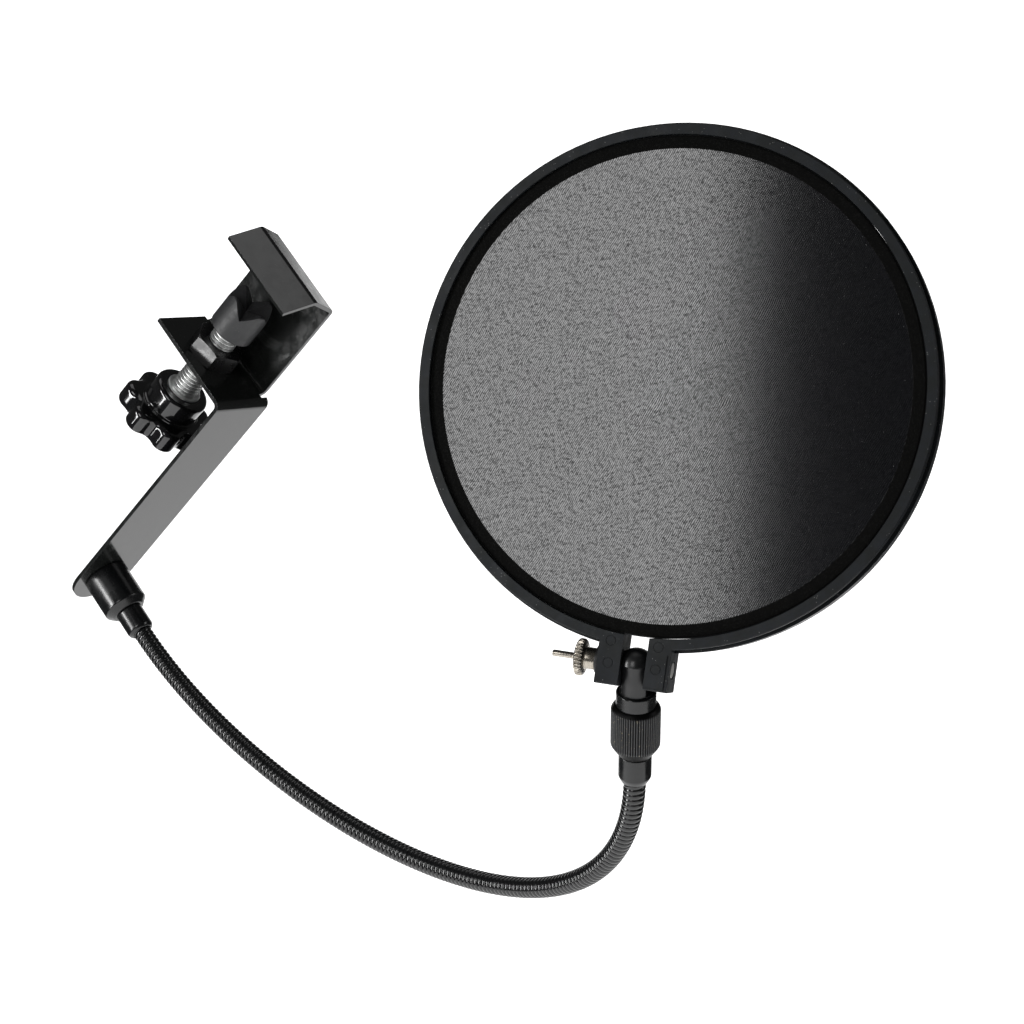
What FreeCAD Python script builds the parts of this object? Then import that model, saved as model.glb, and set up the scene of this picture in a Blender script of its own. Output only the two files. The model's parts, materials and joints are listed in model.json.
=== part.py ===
import FreeCAD, Part
import math
import os

# Double-mesh pop filter on a gooseneck with a screw clamp for a microphone stand.
# Units are millimetres.
# Row frame: origin on the axis of the stand tube held in the clamp jaw,
# +X to the right, +Y away from the front, +Z up.
V = FreeCAD.Vector

# ---------------------------------------------------------------- clamp frame
SCREW_DIR = V(0.5920, -0.5004, 0.6317)      # clamp screw, from knob to hook
STRAP_DIR = V(0.5545, -0.3158, -0.7699)     # outward normal of the strap
TUBE_HEIGHT = 36.5                          # jaw axis above the shelf face
TUBE_SHIFT = 1.5                            # jaw axis centre along the shelf

# ---------------------------------------------------------------- bracket
SHEET = 1.5                                 # steel sheet thickness
BEND_R = 1.6                                # inside radius of the bends
STRAP_HALF = 13.25                          # half width of strap and shelf
SHELF_LEFT = -18.0                          # free end of the shelf
STRAP_FACE = 23.6                           # outer face of the strap
STRAP_LEN = 110.0                           # strap below the shelf face
BASE_HOLE_Z = -96.75                        # gooseneck screw hole in the strap
BASE_HOLE_D = 6.4
SCREW_HOLE_D = 10.6
BACK_LEFT = -16.5                           # back plate and hook, along the tube
BACK_RIGHT = 19.3
BACK_FACE = 12.5                            # inner face of the back plate
HOOK_ROOT_Z = 42.9                          # back plate top, inner face
HOOK_RIDGE = (0.5, 47.2)                    # inner ridge of the hook (y, z)
HOOK_LIP = (-12.2, 42.25)                   # inner edge of the front flange
RELIEF_W = 1.6                              # relief notch beside the bend

# ---------------------------------------------------------------- clamp screw
SCREW_D = 10.0                              # M10 x 1.5
SCREW_TOP = 19.0
SCREW_NECK_D = 6.0                          # turned end inside the pad
SCREW_NECK_L = 5.0
NUT_AF = 17.0
NUT_H = 7.0
PAD_D = 16.5
PAD_Z0 = 13.0
PAD_Z1 = 28.0
PAD_GROOVE_DEPTH = 5.2
PAD_GROOVE_HALF = 5.0
PAD_TURN = 32.6                             # grooves about the screw axis, degrees
HUB_TOP = -18.6                             # knob hub rim
HUB_D = 20.8
LOBE_Z1 = -27.5                             # lobed part of the knob
LOBE_Z0 = -36.3
LOBES = 7
LOBE_TURN = 18.3                            # first lobe, degrees
LOBE_CIRCLE = 12.2                          # centres of the lobes
LOBE_R = 5.2
FLUTE_R = 3.4
VALLEY_R = 14.0                             # bottom of the hollows between lobes

# ---------------------------------------------------------------- base fitting
BASE_HEAD_D = 15.5                          # domed screw head behind the strap
BASE_HEAD_H = 4.8
HEX_KEY = 4.0                               # across the flats of its socket
SOCKET_D = 16.6
SOCKET_L = 15.0
SOCKET_TAPER = 2.4
FERRULE_D = 10.0
BASE_FERRULE_L = 27.0                       # end of the ferrule from the strap

# ---------------------------------------------------------------- hoop frame
HOOP_CENTRE = V(131.4, -133.4, -40.5)       # centre of the front lip plane
HOOP_UP = V(0.1385, 0.0115, 0.9903)
HOOP_FRONT = V(-0.2581, -0.9649, 0.0473)

RING_BORE = 74.7                            # split outer ring, radii
RING_LIP_R = 77.9
RING_GROOVE_R = 77.1
RING_REAR_R = 78.9
RING_DEPTH = 11.5
LIP_DEPTH = 3.6
GROOVE_W = 1.0
INNER_R1 = 74.62                            # inner hoop, radii and depth
INNER_R0 = 71.4
INNER_FRONT = -1.2
INNER_BACK = -9.4
MESH_T = 0.4
PIN_DROP = 83.2                             # cross screw below the hoop centre
LUG_IN = 3.85
LUG_OUT = 11.0
LUG_BOTTOM = 89.9
LUG_ROUND = 0.8                             # lower front and back edges of a lug
MARK_D = 3.2                                # shallow moulding marks
MARK_DEPTH = 0.15

# ---------------------------------------------------------------- thumb screw
THUMB_SHANK_D = 3.0
THUMB_DISC_D = 11.2
THUMB_DISC = (-18.4, -15.6)
THUMB_COLLAR_D = 6.6
WASHER_D = 8.2
WASHER = (-12.2, -11.05)
THUMB_PIN_D = 2.0
THUMB_PIN_END = -25.9
INSERT_D = 4.6
INSERT_RING_D = 5.6                         # shallow counterbore round the insert

# ---------------------------------------------------------------- head fittings
HEAD_UP = V(-0.0092, -0.4725, 0.8813)       # stub axis, towards the hoop
STUB_D = 10.2
STUB_FLATS = 7.6                            # across the flats between the lugs
STUB_FLAT_END = 8.75
STUB_EDGE = 1.8                             # top edge of the stub over the pin
STUB_DOME = 3.5
STUB_END = 23.5                             # lower end, inside the sleeve
SLEEVE_D = 12.2
SLEEVE_TOP = 8.9
SLEEVE_END = 27.0
COLLAR_D = 15.1
COLLAR_TOP = 13.6
COLLAR_SHOULDER = 15.0
COLLAR_WAIST = 27.4
COLLAR_END = 31.0
COLLAR_END_D = 10.4
TIP_SHOULDER = 31.2
TIP_STRAIGHT = 39.0
TIP_END = 41.0
TIP_D = 10.2

# ---------------------------------------------------------------- gooseneck
NECK_D = 7.0
NECK_SPLITS = 8                             # bending points along the tube
NECK_GAP = 1.0                              # slit between neighbouring lengths
BALL_R = 2.3
FIT = 0.05                                  # radial running clearance
BASE_HANDLE = 76.0                          # route handles at the two ends
TIP_HANDLE = 57.2
ROUTE_BELLY = V(77.5, -10.4, -224.8)        # middle pole of the route


# ======================================================================
# frames
# ======================================================================
def unit(v):
    return v * (1.0 / v.Length)


def frame(origin, x_dir, z_dir):
    """Placement whose local z is z_dir and whose local x lies nearest x_dir."""
    z = unit(z_dir)
    x = unit(x_dir - z * x_dir.dot(z))
    y = z.cross(x)
    m = FreeCAD.Matrix(x.x, y.x, z.x, origin.x,
                       x.y, y.y, z.y, origin.y,
                       x.z, y.z, z.z, origin.z,
                       0, 0, 0, 1)
    return FreeCAD.Placement(m)


def place(shape, placement):
    return shape.transformed(placement.toMatrix(), copy=True)


n = unit(SCREW_DIR)
x_strap = unit(STRAP_DIR - n * STRAP_DIR.dot(n))
CLAMP_ORIGIN = n * -TUBE_HEIGHT - x_strap * TUBE_SHIFT
CLAMP = frame(CLAMP_ORIGIN, x_strap, n)
BASE_POINT = CLAMP.multVec(V(STRAP_FACE, 0, BASE_HOLE_Z))
BASE = frame(BASE_POINT, n, x_strap)        # local z runs out along the gooseneck

front = unit(HOOP_FRONT)
up = unit(HOOP_UP - front * HOOP_UP.dot(front))
right = up.cross(front)
HOOP = frame(HOOP_CENTRE, right, front)
PIN = HOOP.multVec(V(0, -PIN_DROP, -RING_DEPTH / 2))
CROSS = frame(PIN, front, right)            # local z along the cross screw
head_up = unit(HEAD_UP - right * HEAD_UP.dot(right))
HEAD = frame(PIN, right, head_up * -1)      # local z runs down the stub


# ======================================================================
# small shape helpers
# ======================================================================
def cyl(d, z0, z1):
    """Cylinder of diameter d on the local z axis."""
    return Part.makeCylinder(d / 2, z1 - z0, V(0, 0, z0))


def turned(profile):
    """Solid of revolution about local z from (radius, z) points."""
    pts = [V(r, 0, z) for r, z in profile]
    face = Part.Face(Part.makePolygon(pts + [pts[0]]))
    return face.revolve(V(0, 0, 0), V(0, 0, 1), 360)


def rounded_outline(points, radii):
    """Closed planar wire with the given radius at each corner."""
    edges = []
    starts = []
    count = len(points)
    for i in range(count):
        p, a, b = points[i], points[i - 1], points[(i + 1) % count]
        r = radii[i]
        if r <= 0:
            starts.append((p, p, None))
            continue
        ua = unit(a - p)
        ub = unit(b - p)
        half = ua.getAngle(ub) / 2
        reach = r / math.tan(half)
        mid_dir = unit(ua + ub)
        mid = p + mid_dir * (r / math.sin(half) - r)
        starts.append((p + ua * reach, p + ub * reach, mid))
    for i in range(count):
        first, last, mid = starts[i]
        if mid is not None:
            edges.append(Part.Arc(first, mid, last).toShape())
        nxt = starts[(i + 1) % count][0]
        if (nxt - last).Length > 1e-6:
            edges.append(Part.makeLine(last, nxt))
    return Part.Wire(edges)


def bent_section(path, normal, side):
    """Outline of a bent strip: the path is one face, side is +1 or -1."""
    legs = [unit(path[i + 1] - path[i]) for i in range(len(path) - 1)]
    offs = [normal.cross(leg) * (side * SHEET) for leg in legs]
    other = [path[0] + offs[0]]
    for i in range(1, len(path) - 1):
        bis = unit(offs[i - 1]) + unit(offs[i])
        scale = SHEET * 2 / bis.dot(bis)
        other.append(path[i] + bis * scale)
    other.append(path[-1] + offs[-1])
    turns = len(path) - 2
    first = [0] + [BEND_R] * turns + [0]
    second = [0] + [BEND_R + SHEET] * turns + [0]
    return path + other[::-1], first, second[::-1]


# ======================================================================
# clamp, in its own frame: x along the tube, y to the back plate, z up
# ======================================================================
def make_bracket():
    # hook, back plate and the bend into the shelf
    path = [V(0, 2.0, 0), V(0, BACK_FACE, 0), V(0, BACK_FACE, HOOK_ROOT_Z),
            V(0, *HOOK_RIDGE), V(0, *HOOK_LIP)]
    pts, inner, outer = bent_section(path, V(1, 0, 0), -1)
    wire = rounded_outline(pts, inner + outer)
    wire.translate(V(BACK_LEFT, 0, 0))
    hook = Part.Face(wire).extrude(V(BACK_RIGHT - BACK_LEFT, 0, 0))
    # shelf and strap
    path = [V(SHELF_LEFT, 0, 0), V(STRAP_FACE, 0, 0), V(STRAP_FACE, 0, -STRAP_LEN)]
    pts, face_r, back_r = bent_section(path, V(0, 1, 0), 1)
    face_r = [0, BEND_R + SHEET, 0]
    back_r = [0, BEND_R, 0]
    wire = rounded_outline(pts, face_r + back_r)
    wire.translate(V(0, -STRAP_HALF, 0))
    strap = Part.Face(wire).extrude(V(0, 2 * STRAP_HALF, 0))
    # rounded lower end of the strap
    tall = Part.makeBox(60, 2 * STRAP_HALF, STRAP_LEN - STRAP_HALF + 2,
                        V(-25, -STRAP_HALF, -STRAP_LEN + STRAP_HALF))
    end = Part.makeCylinder(STRAP_HALF, 60, V(-25, 0, -STRAP_LEN + STRAP_HALF), V(1, 0, 0))
    strap = strap.common(tall.fuse(end))
    # clear the corner that the back plate bend takes, with its relief notch
    corner = Part.makeBox(BACK_RIGHT - SHELF_LEFT + RELIEF_W + 1, 20, 6,
                          V(SHELF_LEFT - 1, BACK_FACE - BEND_R - 0.4, -3))
    strap = strap.cut(corner)
    body = strap.fuse(hook).removeSplitter()
    body = body.cut(cyl(SCREW_HOLE_D, -5, 5))
    hole = Part.makeCylinder(BASE_HOLE_D / 2, 10, V(STRAP_FACE - 5, 0, BASE_HOLE_Z), V(1, 0, 0))
    return body.cut(hole)


def make_nut():
    hexagon = [V(NUT_AF / math.sqrt(3) * math.cos(math.radians(60 * k + 12)),
                 NUT_AF / math.sqrt(3) * math.sin(math.radians(60 * k + 12)), 0)
               for k in range(6)]
    blank = Part.Face(Part.makePolygon(hexagon + [hexagon[0]])).extrude(V(0, 0, NUT_H))
    # chamfered corners on both faces
    r = NUT_AF / math.sqrt(3)
    dome = turned([(0, 0), (r - 0.9, 0), (r + 0.1, 0.6), (r + 0.1, NUT_H - 0.6),
                   (r - 0.9, NUT_H), (0, NUT_H)])
    return blank.common(dome).cut(cyl(SCREW_D + 2 * FIT, -1, NUT_H + 1))


def make_clamp_screw():
    r = SCREW_D / 2
    top = SCREW_TOP - SCREW_NECK_L
    return turned([(0, LOBE_Z0 + 4), (r, LOBE_Z0 + 4), (r, HUB_TOP), (6.6, HUB_TOP),
                   (6.6, HUB_TOP + 0.8), (r, HUB_TOP + 0.8), (r, top - 1),
                   (r - 1, top), (SCREW_NECK_D / 2, top), (SCREW_NECK_D / 2, top + 2.2),
                   (2.3, top + 2.2), (2.3, top + 3.2), (SCREW_NECK_D / 2, top + 3.2),
                   (SCREW_NECK_D / 2, SCREW_TOP), (0, SCREW_TOP)])


def make_snap_ring():
    z0 = SCREW_TOP - SCREW_NECK_L + 2.25
    ring = cyl(8.4, z0, z0 + 0.9).cut(cyl(4.7, z0 - 1, z0 + 2))
    slot = Part.makeBox(8, 2.6, 3, V(0, -1.3, z0 - 1))
    return ring.cut(slot)


def make_pad():
    r = PAD_D / 2
    body = turned([(0, PAD_Z0), (r - 0.6, PAD_Z0), (r, PAD_Z0 + 0.6), (r, PAD_Z1 - 0.4),
                   (r - 0.4, PAD_Z1), (0, PAD_Z1)])
    # two crossing V grooves leave four teeth
    v = [V(-20, -PAD_GROOVE_HALF, PAD_Z1 + 0.01), V(-20, PAD_GROOVE_HALF, PAD_Z1 + 0.01),
         V(-20, 0, PAD_Z1 - PAD_GROOVE_DEPTH)]
    groove = Part.Face(Part.makePolygon(v + [v[0]])).extrude(V(40, 0, 0))
    for turn in (PAD_TURN, PAD_TURN + 90):
        body = body.cut(groove.rotated(V(0, 0, 0), V(0, 0, 1), turn))
    # socket for the turned end of the screw and its snap ring
    top = SCREW_TOP - SCREW_NECK_L
    socket = cyl(SCREW_D + 0.6, PAD_Z0 - 1, top + 0.1)
    socket = socket.fuse(cyl(SCREW_NECK_D + 2 * FIT, top, SCREW_TOP + 0.2))
    socket = socket.fuse(cyl(8.8, top + 2.05, top + 3.35))
    return body.cut(socket)


def make_knob():
    r = HUB_D / 2
    hub = turned([(0, LOBE_Z1 - 1), (r + 0.7, LOBE_Z1 - 1), (r + 0.7, LOBE_Z1 + 0.5),
                  (r, LOBE_Z1 + 0.9), (r, HUB_TOP - 1.5), (r - 0.44, HUB_TOP - 0.44),
                  (r - 1.5, HUB_TOP), (0, HUB_TOP)])
    height = LOBE_Z1 - LOBE_Z0
    star = Part.makeCylinder(VALLEY_R + 0.5, height, V(0, 0, LOBE_Z0))
    for k in range(LOBES):
        a = 2 * math.pi * k / LOBES
        centre = V(LOBE_CIRCLE * math.cos(a), LOBE_CIRCLE * math.sin(a), LOBE_Z0)
        star = star.fuse(Part.makeCylinder(LOBE_R, height, centre))
    star = star.removeSplitter()
    for k in range(LOBES):
        a = 2 * math.pi * (k + 0.5) / LOBES
        reach = VALLEY_R + FLUTE_R
        centre = V(reach * math.cos(a), reach * math.sin(a), LOBE_Z0 - 1)
        star = star.cut(Part.makeCylinder(FLUTE_R, height + 2, centre))
    # softened top and bottom of the lobes
    r = LOBE_CIRCLE + LOBE_R
    soft = turned([(0, LOBE_Z0), (r - 2.2, LOBE_Z0), (r - 0.6, LOBE_Z0 + 0.7),
                   (r + 0.1, LOBE_Z0 + 2.2), (r + 0.1, LOBE_Z1 - 2.2), (r - 0.6, LOBE_Z1 - 0.7),
                   (r - 2.2, LOBE_Z1), (0, LOBE_Z1)])
    star = star.common(soft).rotated(V(0, 0, 0), V(0, 0, 1), LOBE_TURN)
    knob = star.fuse(hub).removeSplitter()
    # moulded-in screw: the bore follows its shank
    return knob.cut(cyl(SCREW_D, LOBE_Z0 + 4, HUB_TOP + 1))


# ======================================================================
# gooseneck base, in the BASE frame: z = 0 on the outer face of the strap
# ======================================================================
def make_base_screw():
    back = -SHEET
    r = BASE_HEAD_D / 2
    body = turned([(0, back - BASE_HEAD_H), (r - 4.4, back - BASE_HEAD_H + 0.3),
                   (r - 1.6, back - BASE_HEAD_H + 1.4), (r - 0.1, back - 2.2), (r, back),
                   (3.0, back), (3.0, 11.0), (0, 11.0)])
    # hexagon socket for the key
    reach = HEX_KEY / math.sqrt(3)
    corners = [V(reach * math.cos(math.pi / 3 * k), reach * math.sin(math.pi / 3 * k), -20)
               for k in range(6)]
    key = Part.Face(Part.makePolygon(corners + [corners[0]])).extrude(V(0, 0, 20 + back - 2.0))
    return body.cut(key)


def make_base_socket():
    r = SOCKET_D / 2
    body = turned([(0, 0), (r, 0), (r, SOCKET_L), (r - SOCKET_TAPER, SOCKET_L + SOCKET_TAPER),
                   (0, SOCKET_L + SOCKET_TAPER)])
    body = body.cut(cyl(6.0 + 2 * FIT, -1, 11.6))
    return body.cut(cyl(FERRULE_D - 1.0, 12.4, 30))


def make_base_ferrule():
    r = FERRULE_D / 2
    lip = SOCKET_L + SOCKET_TAPER
    body = turned([(0, 12.5), (r - 0.55, 12.5), (r - 0.55, lip + 0.02), (r, lip + 0.02),
                   (r, BASE_FERRULE_L - 1.4), (r - 0.5, BASE_FERRULE_L - 0.4),
                   (r - 1.2, BASE_FERRULE_L), (0, BASE_FERRULE_L)])
    return body.cut(cyl(NECK_D, 15.0, 40))


# ======================================================================
# head fittings, in the HEAD frame: z = 0 at the cross screw, z down the stub
# ======================================================================
def make_stub():
    r = STUB_D / 2
    body = turned([(0, -STUB_EDGE), (r, -STUB_EDGE), (r, STUB_END - 0.6), (r - 0.6, STUB_END),
                   (0, STUB_END)])
    # domed top
    ball_r = (r * r + STUB_DOME * STUB_DOME) / (2 * STUB_DOME)
    cap = Part.makeSphere(ball_r, V(0, 0, ball_r - STUB_EDGE - STUB_DOME))
    body = body.fuse(cap.common(cyl(STUB_D + 4, -STUB_EDGE - STUB_DOME - 1, -STUB_EDGE + 0.001)))
    body = body.removeSplitter()
    for side in (-1, 1):
        x0 = STUB_FLATS / 2 if side > 0 else -STUB_FLATS / 2 - 10
        body = body.cut(Part.makeBox(10, 40, STUB_FLAT_END + 20, V(x0, -20, -20)))
    hole = Part.makeCylinder(THUMB_SHANK_D / 2 + FIT, 20, V(-10, 0, 0), V(1, 0, 0))
    return body.cut(hole)


def make_sleeve():
    r = SLEEVE_D / 2
    body = turned([(0, SLEEVE_TOP), (r - 0.5, SLEEVE_TOP), (r, SLEEVE_TOP + 0.5),
                   (r, SLEEVE_END), (0, SLEEVE_END)])
    body = body.cut(cyl(STUB_D + 2 * FIT, SLEEVE_TOP - 1, STUB_END + 0.3))
    # collet slits, hidden under the collar
    for k in range(2):
        slit = Part.makeBox(0.8, 30, 12, V(-0.4, -15, COLLAR_SHOULDER))
        body = body.cut(slit.rotated(V(0, 0, 0), V(0, 0, 1), 45 + 90 * k)
                        .common(cyl(SLEEVE_D + 2, COLLAR_SHOULDER, COLLAR_SHOULDER + 8)))
    return body


def make_collar():
    r = COLLAR_D / 2
    body = turned([(0, COLLAR_TOP), (SLEEVE_D / 2 + 0.25, COLLAR_TOP), (r, COLLAR_SHOULDER),
                   (r, COLLAR_WAIST), (COLLAR_END_D / 2, COLLAR_END), (0, COLLAR_END)])
    body = body.cut(cyl(SLEEVE_D + 2 * FIT, COLLAR_TOP - 1, SLEEVE_END + 0.2))
    return body.cut(cyl(9.0 + 2 * FIT, SLEEVE_END, COLLAR_END + 1))


def make_tip_ferrule():
    r = TIP_D / 2
    body = turned([(0, SLEEVE_END + 0.01), (4.5, SLEEVE_END + 0.01), (4.5, TIP_SHOULDER),
                   (r - 0.3, TIP_SHOULDER), (r, TIP_SHOULDER + 0.3), (r, TIP_STRAIGHT),
                   (NECK_D / 2 + 0.6, TIP_END), (0, TIP_END)])
    return body.cut(cyl(NECK_D, TIP_END - 8.8, TIP_END + 1))


# ======================================================================
# hoop, in the HOOP frame: z = 0 on the front lip, z towards the speaker
# ======================================================================
def make_outer_ring():
    z_lip = -LIP_DEPTH
    z_rear = z_lip - GROOVE_W
    profile = [(RING_BORE, 0), (RING_LIP_R - 0.3, 0), (RING_LIP_R, -0.3), (RING_LIP_R, z_lip),
               (RING_GROOVE_R, z_lip), (RING_GROOVE_R, z_rear), (RING_REAR_R, z_rear),
               (RING_REAR_R, -RING_DEPTH + 0.3), (RING_REAR_R - 0.3, -RING_DEPTH),
               (RING_BORE, -RING_DEPTH)]
    ring = turned(profile)
    # two lugs that close on the stub
    for side in (-1, 1):
        x0 = LUG_IN if side > 0 else -LUG_OUT
        lug = Part.makeBox(LUG_OUT - LUG_IN, LUG_BOTTOM - RING_BORE - 1.2, RING_DEPTH,
                           V(x0, -LUG_BOTTOM, -RING_DEPTH))
        low = [e for e in lug.Edges if e.BoundBox.YMax < -LUG_BOTTOM + 0.01]
        lug = lug.makeFillet(LUG_ROUND, [e for e in low if e.BoundBox.XLength > 1])
        ring = ring.fuse(lug)
    bore = Part.makeCylinder(RING_BORE, 40, V(0, 0, -25))
    gap = Part.makeBox(2 * LUG_IN, 30, 40, V(-LUG_IN, -RING_REAR_R - 20, -30))
    ring = ring.cut(bore).cut(gap).removeSplitter()
    # cross screw: clearance hole on one side, insert seat on the other
    z = -RING_DEPTH / 2
    hole = Part.makeCylinder(THUMB_SHANK_D / 2 + FIT, 12, V(-13, -PIN_DROP, z), V(1, 0, 0))
    seat = Part.makeCylinder(INSERT_D / 2, 12, V(LUG_IN - 1, -PIN_DROP, z), V(1, 0, 0))
    ring = ring.cut(hole).cut(seat)
    rim = Part.makeCylinder(INSERT_RING_D / 2, 5, V(LUG_OUT - 0.5, -PIN_DROP, z), V(1, 0, 0))
    ring = ring.cut(rim)
    # line beside the outer edge of the right lug
    line = Part.makeBox(0.5, LUG_BOTTOM - RING_REAR_R + 0.5, 1,
                        V(LUG_OUT - 1.1, -LUG_BOTTOM - 0.5, -0.4))
    ring = ring.cut(line)
    # shallow moulding marks on both lugs
    for x in (-(LUG_IN + LUG_OUT) / 2, (LUG_IN + LUG_OUT) / 2 - 0.4):
        for y in (-76.8, -83.4):
            mark = Part.makeCylinder(MARK_D / 2, 1, V(x, y, -MARK_DEPTH))
            core = Part.makeCylinder(MARK_D / 2 - 0.3, 1, V(x, y, -MARK_DEPTH))
            ring = ring.cut(mark.cut(core))
    return ring


def make_inner_hoop():
    return turned([(INNER_R0 + 0.5, INNER_FRONT), (INNER_R1 - 0.5, INNER_FRONT),
                   (INNER_R1, INNER_FRONT - 0.5), (INNER_R1, INNER_BACK + 0.5),
                   (INNER_R1 - 0.5, INNER_BACK), (INNER_R0 + 0.5, INNER_BACK),
                   (INNER_R0, INNER_BACK + 0.5), (INNER_R0, INNER_FRONT - 0.5)])


def make_mesh(z0):
    return cyl(2 * (INNER_R1 - 0.3), z0, z0 + MESH_T)


# ======================================================================
# thumb screw, in the CROSS frame: z along the screw
# ======================================================================
def make_thumb_screw():
    d0, d1 = THUMB_DISC
    shank = THUMB_SHANK_D / 2
    return turned([(0, THUMB_PIN_END), (THUMB_PIN_D / 2 - 0.2, THUMB_PIN_END),
                   (THUMB_PIN_D / 2, THUMB_PIN_END + 0.2), (THUMB_PIN_D / 2, d0),
                   (THUMB_DISC_D / 2 - 0.5, d0), (THUMB_DISC_D / 2, d0 + 0.5),
                   (THUMB_DISC_D / 2, d1 - 0.5), (THUMB_DISC_D / 2 - 0.5, d1),
                   (THUMB_COLLAR_D / 2, d1), (THUMB_COLLAR_D / 2, WASHER[0] - 0.05),
                   (shank, WASHER[0] - 0.05), (shank, LUG_OUT - 0.6), (0, LUG_OUT - 0.6)])


def make_washer():
    return cyl(WASHER_D, *WASHER).cut(cyl(THUMB_SHANK_D + 2 * FIT, -20, 0))


def make_insert():
    body = cyl(INSERT_D, LUG_IN + 0.9, LUG_OUT - 0.1)
    return body.cut(cyl(THUMB_SHANK_D + 2 * FIT, 0, LUG_OUT - 0.3))


# ======================================================================
# gooseneck: a Bezier route cut into lengths that meet in small ball seats
# ======================================================================
def neck_route():
    start = BASE.multVec(V(0, 0, BASE_FERRULE_L))
    out = BASE.Rotation.multVec(V(0, 0, 1))
    end = HEAD.multVec(V(0, 0, TIP_END))
    back = HEAD.Rotation.multVec(V(0, 0, 1))
    curve = Part.BezierCurve()
    curve.setPoles([start, start + out * BASE_HANDLE, ROUTE_BELLY,
                    end + back * TIP_HANDLE, end])
    return curve.toShape(), start, out, end, back


def neck_joints():
    """Bending points on the route, with the tangent at each."""
    edge = neck_route()[0]
    step = edge.Length / NECK_SPLITS
    found = []
    for k in range(NECK_SPLITS):
        u = edge.getParameterByLength(step * (k + 0.5))
        found.append((edge.valueAt(u), unit(edge.tangentAt(u))))
    return found


def sweep(edge, d):
    p = edge.valueAt(edge.FirstParameter)
    t = edge.tangentAt(edge.FirstParameter)
    ring = Part.Wire([Part.makeCircle(d / 2, p, t)])
    return Part.Wire([edge]).makePipeShell([ring], True, True)


def make_neck_lengths():
    edge, start, out, end, back = neck_route()
    step = edge.Length / NECK_SPLITS
    joints = neck_joints()
    lengths = []
    for k in range(NECK_SPLITS + 1):
        s0 = max(0.0, step * (k - 0.5) + NECK_GAP / 2)
        s1 = min(edge.Length, step * (k + 0.5) - NECK_GAP / 2)
        u0 = edge.getParameterByLength(s0) if s0 > 0 else edge.FirstParameter
        u1 = edge.getParameterByLength(s1) if s1 < edge.Length else edge.LastParameter
        piece = Part.Edge(edge.Curve, u0, u1)
        solid = sweep(piece, NECK_D)
        if k == 0:
            # end held in the base ferrule
            root = Part.makeCylinder(NECK_D / 2, 10, start - out * 10, out)
            solid = solid.fuse(root)
        if k == NECK_SPLITS:
            # end held in the tip ferrule
            root = Part.makeCylinder(NECK_D / 2, 7, end, back * -1)
            solid = solid.fuse(root)
        if k > 0:
            # ball in the seat of the length before
            p, t = joints[k - 1]
            neck = Part.makeCylinder(1.5, NECK_GAP, p, t)
            solid = solid.fuse(Part.makeSphere(BALL_R, p)).fuse(neck)
        if k < NECK_SPLITS:
            p, t = joints[k]
            solid = solid.cut(Part.makeSphere(BALL_R + FIT, p))
        lengths.append(solid.removeSplitter())
    return lengths


# ======================================================================
# export
# ======================================================================
def export(name, shape, placement):
    solid = shape if placement is None else place(shape, placement)
    solids = solid.Solids
    result = solids[0] if len(solids) == 1 else solid
    result.exportStep("parts/%s.step" % name)
    print(name, len(solids), result.isValid(), round(result.Volume, 1))


os.makedirs("parts", exist_ok=True)

export("bracket", make_bracket(), CLAMP)
export("clamp_nut", make_nut(), CLAMP)
export("clamp_screw", make_clamp_screw(), CLAMP)
export("clamp_knob", make_knob(), CLAMP)
export("jaw_pad", make_pad(), CLAMP)
export("pad_snap_ring", make_snap_ring(), CLAMP)

export("base_screw", make_base_screw(), BASE)
export("base_socket", make_base_socket(), BASE)
export("base_ferrule", make_base_ferrule(), BASE)

for index, length in enumerate(make_neck_lengths()):
    export("gooseneck_%02d" % (index + 1), length, None)

export("tip_ferrule", make_tip_ferrule(), HEAD)
export("lock_collar", make_collar(), HEAD)
export("collet_sleeve", make_sleeve(), HEAD)
export("swivel_stub", make_stub(), HEAD)

export("outer_ring", make_outer_ring(), HOOP)
export("inner_hoop", make_inner_hoop(), HOOP)
export("front_mesh", make_mesh(INNER_FRONT + 0.01), HOOP)
export("rear_mesh", make_mesh(INNER_BACK - MESH_T - 0.01), HOOP)

export("thumb_screw", make_thumb_screw(), CROSS)
export("thumb_washer", make_washer(), CROSS)
export("lug_insert", make_insert(), CROSS)
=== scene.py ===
import json
import math

import bmesh
import bpy
import numpy as np
from mathutils import Matrix, Vector


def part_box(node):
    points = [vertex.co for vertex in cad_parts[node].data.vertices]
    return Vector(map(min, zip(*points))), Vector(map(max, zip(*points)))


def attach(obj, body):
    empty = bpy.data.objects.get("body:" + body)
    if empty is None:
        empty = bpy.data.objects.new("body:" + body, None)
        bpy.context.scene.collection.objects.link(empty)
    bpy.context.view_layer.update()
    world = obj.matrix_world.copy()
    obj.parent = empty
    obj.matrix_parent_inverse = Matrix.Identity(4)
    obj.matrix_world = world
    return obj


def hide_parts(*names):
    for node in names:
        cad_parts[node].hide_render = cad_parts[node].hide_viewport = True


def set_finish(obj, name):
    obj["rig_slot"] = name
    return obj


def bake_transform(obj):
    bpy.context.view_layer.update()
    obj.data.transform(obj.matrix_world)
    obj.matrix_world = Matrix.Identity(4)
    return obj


# Looks of a double-mesh pop filter on a gooseneck with a screw clamp.
# Pieces are drawn in millimetres in the same local frames as the CAD model,
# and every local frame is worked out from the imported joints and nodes.

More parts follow.
